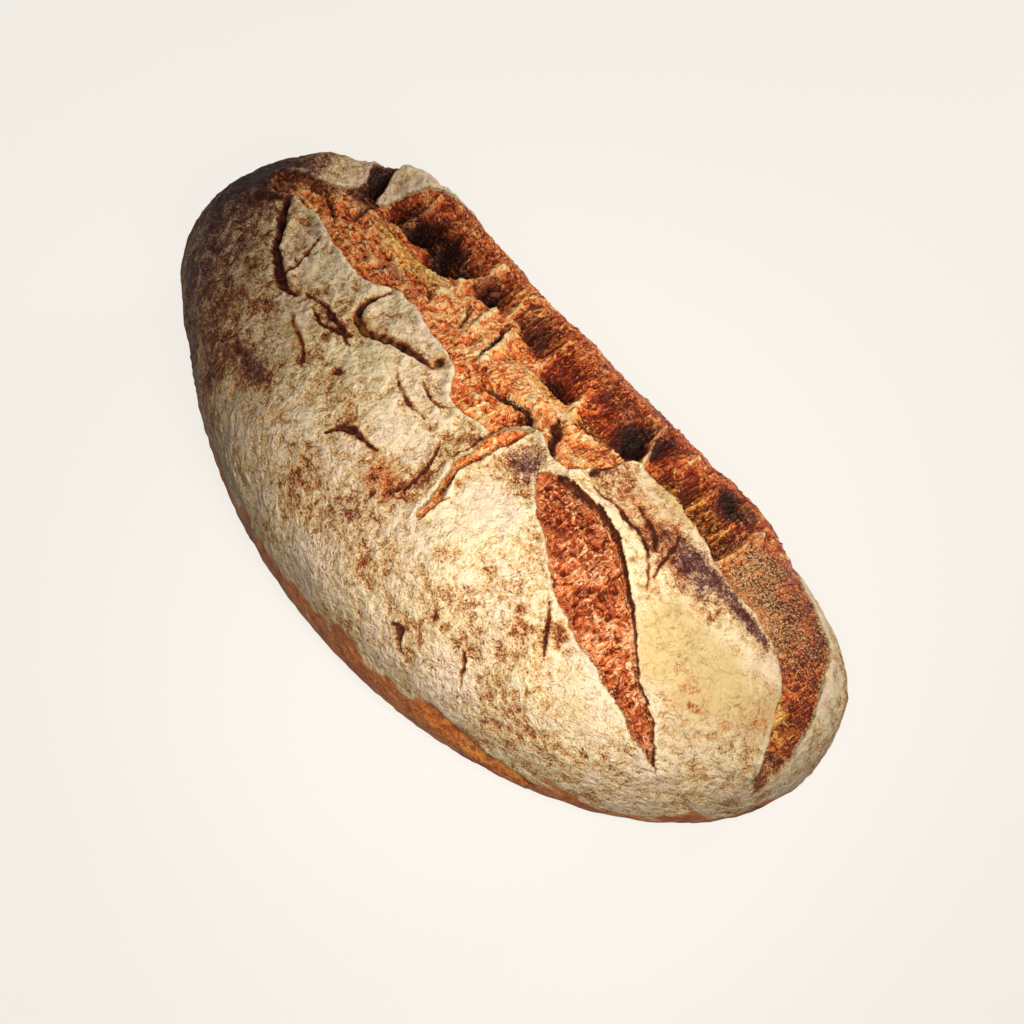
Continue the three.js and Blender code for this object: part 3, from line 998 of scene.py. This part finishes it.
# %% Skin colors
FLOUR = color(252, 234, 192)
FLOUR_WARM = color(254, 226, 196)
FLOUR_SHADE = color(218, 180, 124)
FLOUR_YELLOW_AND_SHADE = color(230, 202, 142)
SKIN_TAN = color(186, 126, 76)
SKIN_RED = color(142, 70, 30)
SKIN_ORANGE = color(196, 104, 40)
SKIN_GOLD = color(226, 154, 104)
SKIN_PURPLE = color(164, 120, 108)
SKIN_DARK = color(112, 70, 62)
SKIN_GAP_SHADE = color(70, 26, 10)
RIM_DEEP = color(88, 26, 10)
RIM_BROWN = color(178, 84, 24)
RIM_AMBER = color(226, 136, 54)
RIM_PALE = color(240, 190, 120)

print("palest flour, linear:", [round(v, 2) for v in FLOUR])

# %% Skin paint
torn_at, leaf_at, crack_at = read("torn"), read("leaf"), read("crack")
flour_at, relief_at, hollow_at = read("flour"), read("relief"), read("hollow")
dark_and_shade_at, golden_at, fan_at = read("dark"), read("golden"), read("fan")
rim_at, painted_shade_at = read("rim"), read("deep")


def wobble(texture, amount):
    """A noise made to swing evenly below and above zero."""
    return calc("MULTIPLY", calc("SUBTRACT", texture, 0.5), amount)


def thin_lines(texture, level, outer, inner):
    """1 where a noise is near a level, which draws thin winding lines."""
    return step(calc("ABSOLUTE", calc("SUBTRACT", texture, level)), outer, inner)


grain = speckle(0.72, 3, 0.65)
fine_grain = speckle(0.33, 1)
pebble = speckle(2.4, 3, 0.55, twist=0.4)
mottle = speckle(6.0, 4, 0.66, twist=1.2)
patch = speckle(21, 3, 0.6)
# Fine veins of painted shade, like small shaded cracks; they also dent the bump.
vein = thin_lines(speckle(8, 3, 0.55, twist=1.2), 0.5, 0.014, 0.003)
vein = calc("MULTIPLY", vein, step(patch, 0.46, 0.58))
shaken_dark = calc("ADD", dark_and_shade_at, wobble(mottle, 1.8))
shaken_gold = calc("ADD", golden_at, wobble(patch, 1.2))

golden_skin = step(shaken_gold, 0.15, 0.6)
dark_skin = step(shaken_dark, 0.15, 0.75)
bare_skin = blend(golden_skin, SKIN_RED, SKIN_ORANGE)
bare_skin = blend(dark_skin, bare_skin, SKIN_DARK)
worn_skin = blend(golden_skin, SKIN_TAN, SKIN_GOLD)
worn_skin = blend(dark_skin, worn_skin, SKIN_PURPLE)
flour_color = blend(step(patch, 0.4, 0.6), FLOUR, FLOUR_WARM)
# Yellower, darker flour where golden; at the +X end this is painted shade.
flour_color = blend(step(shaken_gold, 0.2, 0.8), flour_color, FLOUR_YELLOW_AND_SHADE)
# Flour cover mixed with painted shade: the relief and the bump's own noises darken the lows and lighten
# the highs.
cover_and_shade = calc("MULTIPLY_ADD", relief_at, 0.35, flour_at)
for texture, amount in ((grain, 1.9), (pebble, 1.15), (mottle, 1.45), (patch, 1.7)):
    cover_and_shade = calc("ADD", cover_and_shade, wobble(texture, amount))
cover_and_shade = calc("MULTIPLY_ADD", vein, -0.4, cover_and_shade)
skin_color = tones(
    cover_and_shade, (-0.3, SKIN_GAP_SHADE), (0.05, bare_skin), (0.27, worn_skin), (0.42, FLOUR_SHADE), (0.9, flour_color)
)
# The rim follows the same value, with painted shade in its lows.
rim_color = tones(cover_and_shade, (-0.3, RIM_DEEP), (0.35, RIM_BROWN), (0.9, RIM_AMBER), (1.5, RIM_PALE))
rim_mask = calc("ADD", rim_at, calc("ADD", wobble(grain, 0.8), wobble(pebble, 0.9)))
skin_color = blend(step(rim_mask, 0.35, 0.65), skin_color, rim_color)
floured = calc("MULTIPLY", step(cover_and_shade, 0.3, 0.7), step(rim_mask, 0.65, 0.35))
print("skin done,", len(tree.nodes), "nodes")

# %% [markdown]
# ## Torn crust, leaf and cracks
# Where the skin tore, fresh dough met the oven and turned orange. The proud fibres are painted pale as
# highlight and the low places dark as painted shade, parts of the valley are golden, and the far wall
# is painted darker as shade. Pale threads of painted highlight and dark folds of painted shade curl
# over everything. The leaf is redder, and paler towards its tip. In the cracks one sees a thin broken
# line of red or amber crust, then only dark, painted shade.

# %% Torn colors
# The darkest and the palest tone of each run below are painted shade and painted highlight.
PEACH_HIGHLIGHT = color(255, 228, 170)
PEACH = color(255, 186, 114)
ORANGE = color(238, 126, 52)
RUST = color(190, 74, 26)
RUST_SHADE = color(108, 28, 6)
GOLD_HIGHLIGHT = color(255, 206, 118)
GOLD = color(232, 148, 60)
GOLD_BROWN = color(160, 82, 18)
GOLD_SHADE = color(84, 30, 4)
BROWN_HIGHLIGHT = color(214, 144, 92)
BROWN = color(124, 52, 24)
CHAR_AND_SHADE = color(34, 10, 4)
LEAF_PALE_AND_HIGHLIGHT = color(255, 208, 164)
LEAF_LIGHT = color(232, 140, 78)
LEAF_RED = color(184, 82, 34)
LEAF_SHADE = color(96, 26, 8)
AMBER = color(156, 96, 44)
RED_CREVICE = color(112, 52, 30)
# Painted shade for the middles of cracks and pits and for the crevice under the leaf's lip.
CREVICE_SHADE = color(44, 16, 9)
print("orange crust, linear:", [round(v, 2) for v in ORANGE])

# %% Fibres, threads and folds
fibre_along = speckle(0.9, 1, 0.5, stretch=(11, 1, 1.6), twist=0.5)
fibre_across = speckle(0.9, 1, 0.5, stretch=(1, 9, 5), twist=0.5)
fibre = calc("ADD", calc("MULTIPLY", fibre_along, calc("SUBTRACT", 1.0, fan_at)),
             calc("MULTIPLY", fibre_across, fan_at))
crumb = speckle(1.9, 2, 0.5, twist=0.8)
thread = thin_lines(speckle(3.6, 1, 0.5, twist=0.9), 0.52, 0.035, 0.01)
fold = thin_lines(speckle(4.4, 1, 0.5, twist=0.9), 0.48, 0.04, 0.01)
# The colour height: mesh relief, fibres, crumb, threads and folds. From it the low places get painted
# shade and the proud ones painted highlight.
height_shading = calc("MULTIPLY_ADD", relief_at, 0.9, wobble(fibre, 4.2))
height_shading = calc("ADD", height_shading, wobble(crumb, 4.0))
height_shading = calc("MULTIPLY_ADD", thread, 1.7, height_shading)
height_shading = calc("MULTIPLY_ADD", fold, -1.5, height_shading)
height_shading = calc("ADD", height_shading, wobble(speckle(9, 2, 0.5), 3.2))
# Painted shade on the far wall and the tongue, and painted light on the near slope.
height_shading = calc("MULTIPLY_ADD", painted_shade_at, -1.5, height_shading)
crumb_shake = wobble(crumb, 0.9)
print("torn texture done,", len(tree.nodes), "nodes")

# %% Torn paint, leaf and cracks
# Painted shade in the low places, painted highlight on the proud ones.
torn_color = tones(
    height_shading, (-2.2, RUST_SHADE), (-1.0, RUST), (0.0, ORANGE), (1.0, PEACH), (2.0, PEACH_HIGHLIGHT)
)
gold_color = tones(height_shading, (-2.0, GOLD_SHADE), (-1.0, GOLD_BROWN), (0.1, GOLD), (1.4, GOLD_HIGHLIGHT))
# Dark places: baked darker, and painted shade in the holes, along the far wall and at both ends.
burnt_and_shaded_color = tones(height_shading, (-1.5, CHAR_AND_SHADE), (0.0, BROWN), (1.8, BROWN_HIGHLIGHT))
torn_color = blend(step(calc("ADD", golden_at, crumb_shake), 0.2, 0.75), torn_color, gold_color)
torn_color = blend(step(calc("ADD", dark_and_shade_at, crumb_shake), 0.25, 0.8), torn_color, burnt_and_shaded_color)
dusted = step(calc("ADD", flour_at, wobble(grain, 3.0)), 0.42, 0.8)
torn_color = blend(dusted, torn_color, FLOUR_SHADE)
# The leaf is paler where golden, with painted shade in its lows and painted highlight on its proud places.
leaf_tone = calc("ADD", calc("MULTIPLY_ADD", golden_at, 3.0, height_shading), 0.2)
leaf_color = tones(leaf_tone, (-1.5, LEAF_SHADE), (-0.2, LEAF_RED), (0.9, LEAF_LIGHT), (1.8, LEAF_PALE_AND_HIGHLIGHT))

edge_shake = wobble(grain, 2.4)
torn_mask = step(calc("ADD", torn_at, edge_shake), -0.2, 0.2)
leaf_mask = step(calc("ADD", leaf_at, edge_shake), -0.2, 0.2)
crack_shake = calc("ADD", crack_at, wobble(grain, 2.2))

surface = blend(leaf_mask, skin_color, leaf_color)
surface = blend(torn_mask, surface, torn_color)
# Crack floors: red or amber crust with patches of painted shade, and painted shade down their middles.
crevice_color = blend(step(golden_at, 0.3, 0.7), RED_CREVICE, AMBER)
crevice_color = blend(step(pebble, 0.36, 0.6), CREVICE_SHADE, crevice_color)
surface = blend(step(crack_shake, 0.0, 0.6), surface, crevice_color)
surface = blend(step(crack_shake, 0.9, 1.9), surface, CREVICE_SHADE)
print("torn crust done,", len(tree.nodes), "nodes")

# %% [markdown]
# ## Rim hollow, gloss and grain
# The burst bubble on the rim is smooth, amber and a little glossy, as baked starch is. Flour is
# quite dull. Finally one Bump node adds the grain that is too fine for the mesh.

# %% Hollow and gloss
SKIN_ROUGHNESS = 0.72
FLOUR_DULLNESS = 0.2
GLOSS = 0.36
SPECULAR = 0.28
HOLLOW_LIGHT = color(214, 138, 60)
HOLLOW_DEEP = color(150, 72, 28)
hollow_mask = step(calc("ADD", hollow_at, edge_shake), -0.1, 0.5)
hollow_color = blend(step(mottle, 0.42, 0.62), HOLLOW_LIGHT, HOLLOW_DEEP)
surface = blend(hollow_mask, surface, hollow_color)
feed(shader.inputs["Base Color"], surface)

inside = calc("MAXIMUM", torn_mask, leaf_mask)
gloss = calc("MAXIMUM", calc("MULTIPLY", inside, 0.8), hollow_mask)
dull = calc("MULTIPLY_ADD", floured, FLOUR_DULLNESS, SKIN_ROUGHNESS)
feed(shader.inputs["Roughness"], calc("MULTIPLY_ADD", gloss, -GLOSS, dull))
shader.inputs["Specular IOR Level"].default_value = SPECULAR
print("gloss done,", len(tree.nodes), "nodes")

# %% Fine grain
BUMP_DISTANCE = 0.0009
skin_grain = calc("MULTIPLY_ADD", fine_grain, 0.12, calc("MULTIPLY", grain, 0.55))
skin_grain = calc("MULTIPLY_ADD", pebble, 1.6, skin_grain)
skin_grain = calc("MULTIPLY_ADD", mottle, 2.4, calc("MULTIPLY_ADD", vein, -0.3, skin_grain))
torn_grain = calc("MULTIPLY_ADD", fold, -0.35, calc("MULTIPLY", thread, 0.4))
torn_grain = calc("MULTIPLY_ADD", crumb, 1.4, torn_grain)
torn_grain = calc("MULTIPLY_ADD", fibre, 1.3, torn_grain)
fine_height = calc("ADD", calc("MULTIPLY", skin_grain, calc("SUBTRACT", 1.0, inside)),
                   calc("MULTIPLY", torn_grain, inside))
bumped = node("Bump", {"Strength": 1.0, "Distance": BUMP_DISTANCE, "Height": fine_height})
feed(shader.inputs["Normal"], bumped)
loaf.data.materials.append(crust)
print("crust material:", len(tree.nodes), "nodes")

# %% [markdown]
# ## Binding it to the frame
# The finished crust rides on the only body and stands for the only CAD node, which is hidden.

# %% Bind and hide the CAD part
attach(loaf, "root")
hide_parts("loaf")
